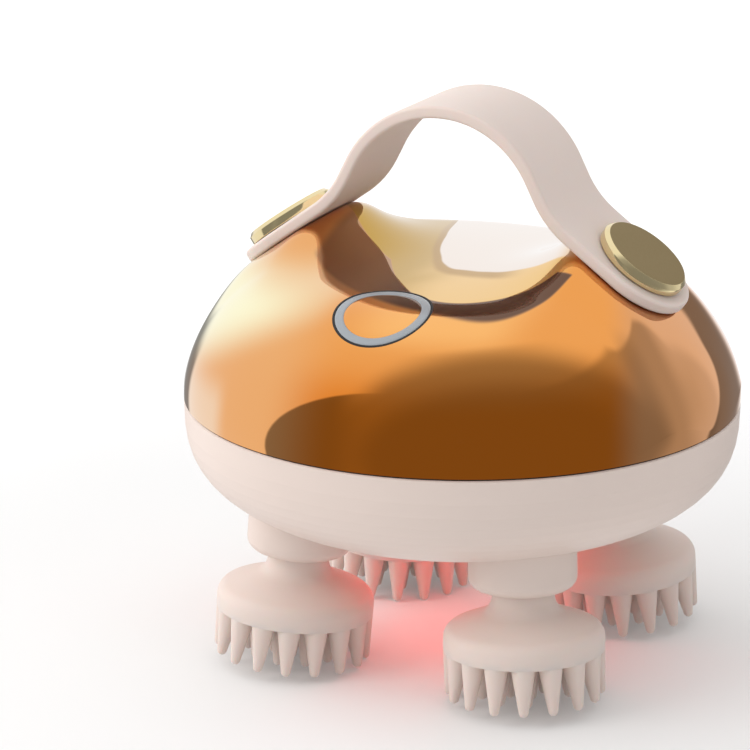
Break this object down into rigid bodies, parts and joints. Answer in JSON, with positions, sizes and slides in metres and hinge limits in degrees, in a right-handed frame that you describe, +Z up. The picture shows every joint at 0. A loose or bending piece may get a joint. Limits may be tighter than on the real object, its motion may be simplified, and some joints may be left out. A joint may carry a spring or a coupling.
{
  "type": "electric scalp massager",
  "caption": "Round scalp massager with a mirrored dome, a hand strap held by metal caps, a round power button and splayed turning heads with silicone tines.",
  "frame": {"origin": "on the surface that the tines stand on, under the middle of the body", "axes": "+Z up, the power button faces -Y and the hand strap runs along X"},
  "size_m": [0.12, 0.12, 0.1217],
  "materials": {
    "gold_mirror": "vacuum-plated amber mirror",
    "blush_shell": "satin soft-touch",
    "blush_silicone": "matte silicone",
    "pale_gold_metal": "satin face, polished bevel",
    "grey_ring": "frosted light guide",
    "dark_rubber": "matte",
    "steel": "turned",
    "bronze": "sintered",
    "nylon": "moulded",
    "hub_plastic": "moulded",
    "board": "solder mask",
    "cell_wrap": "shrink film",
    "red_window": "clear red, lit from behind"
  },
  "bodies": {
    "housing": {"top_cover": "gold_mirror", "lower_shell": "blush_shell", "seam_seal": "dark_rubber", "hand_strap": "blush_silicone", "strap_caps": "pale_gold_metal", "strap_screws": "steel", "button_gasket": "dark_rubber", "control_board": "board", "button_switch": "dark_rubber", "gearbox_floor": "nylon", "gearbox_cover": "nylon", "chassis_screws": "steel", "motor": "steel", "intermediate_axle": "steel", "central_axle": "steel", "battery": "cell_wrap", "battery_cradle": "nylon", "charging_socket": "steel", "light_window": "red_window", "light_board": "board", "head_collar_back_right": "blush_shell", "shaft_bush_back_right": "bronze", "shaft_seal_back_right": "dark_rubber", "head_collar_back_left": "blush_shell", "shaft_bush_back_left": "bronze", "shaft_seal_back_left": "dark_rubber", "head_collar_front_left": "blush_shell", "shaft_bush_front_left": "bronze", "shaft_seal_front_left": "dark_rubber", "head_collar_front_right": "blush_shell", "shaft_bush_front_right": "bronze", "shaft_seal_front_right": "dark_rubber"},
    "power_button": {"button_cap": "gold_mirror", "button_ring": "grey_ring"},
    "central_drive": {"central_gear": "nylon"},
    "intermediate_drive": {"intermediate_gear": "nylon"},
    "motor_drive": {"motor_shaft": "steel", "motor_pinion": "bronze"},
    "port_flap": {"port_cover": "blush_silicone"},
    "head_back_right": {"massage_head_back_right": "blush_silicone", "head_hub_back_right": "hub_plastic", "head_shaft_back_right": "steel", "head_gear_back_right": "nylon"},
    "head_back_left": {"massage_head_back_left": "blush_silicone", "head_hub_back_left": "hub_plastic", "head_shaft_back_left": "steel", "head_gear_back_left": "nylon"},
    "head_front_left": {"massage_head_front_left": "blush_silicone", "head_hub_front_left": "hub_plastic", "head_shaft_front_left": "steel", "head_gear_front_left": "nylon"},
    "head_front_right": {"massage_head_front_right": "blush_silicone", "head_hub_front_right": "hub_plastic", "head_shaft_front_right": "steel", "head_gear_front_right": "nylon"}
  },
  "joints": [
    {"name": "power_button_press", "type": "slide", "parent": "housing", "child": "power_button", "axis": [0, 0.3537, -0.9354], "range_m": [0, 0.0008], "stiffness_N_per_m": 1500, "springref_m": -0.0004},
    {"name": "central_spin", "type": "hinge", "parent": "housing", "child": "central_drive", "pos_m": [0, 0, 0.04126], "axis": [0, 0, 1], "continuous": true},
    {"name": "head_spin_back_right", "type": "hinge", "parent": "housing", "child": "head_back_right", "pos_m": [0.02687, 0.02687, 0.01396], "axis": [-0.0579, -0.0579, 0.9966], "continuous": true},
    {"name": "head_spin_back_left", "type": "hinge", "parent": "housing", "child": "head_back_left", "pos_m": [-0.02687, 0.02687, 0.01396], "axis": [0.0579, -0.0579, 0.9966], "continuous": true},
    {"name": "head_spin_front_left", "type": "hinge", "parent": "housing", "child": "head_front_left", "pos_m": [-0.02687, -0.02687, 0.01396], "axis": [0.0579, 0.0579, 0.9966], "continuous": true},
    {"name": "head_spin_front_right", "type": "hinge", "parent": "housing", "child": "head_front_right", "pos_m": [0.02687, -0.02687, 0.01396], "axis": [-0.0579, 0.0579, 0.9966], "continuous": true},
    {"name": "intermediate_spin", "type": "hinge", "parent": "housing", "child": "intermediate_drive", "pos_m": [0, 0.0277, 0.04541], "axis": [0, 0, 1], "continuous": true},
    {"name": "motor_spin", "type": "hinge", "parent": "housing", "child": "motor_drive", "pos_m": [0, 0.01082, 0.04541], "axis": [0, 0, 1], "continuous": true},
    {"name": "port_flap_hinge", "type": "hinge", "parent": "housing", "child": "port_flap", "pos_m": [0, 0.05874, 0.04556], "axis": [-1, 0, 0], "range_deg": [0, 80]}
  ],
  "couplings": [
    {"joint": "head_spin_back_right", "follows": "central_spin", "ratio": -1.5714},
    {"joint": "head_spin_back_left", "follows": "central_spin", "ratio": -1.5714},
    {"joint": "head_spin_front_left", "follows": "central_spin", "ratio": -1.5714},
    {"joint": "head_spin_front_right", "follows": "central_spin", "ratio": -1.5714},
    {"joint": "intermediate_spin", "follows": "central_spin", "ratio": -3.6667},
    {"joint": "motor_spin", "follows": "central_spin", "ratio": 9.1667}
  ]
}
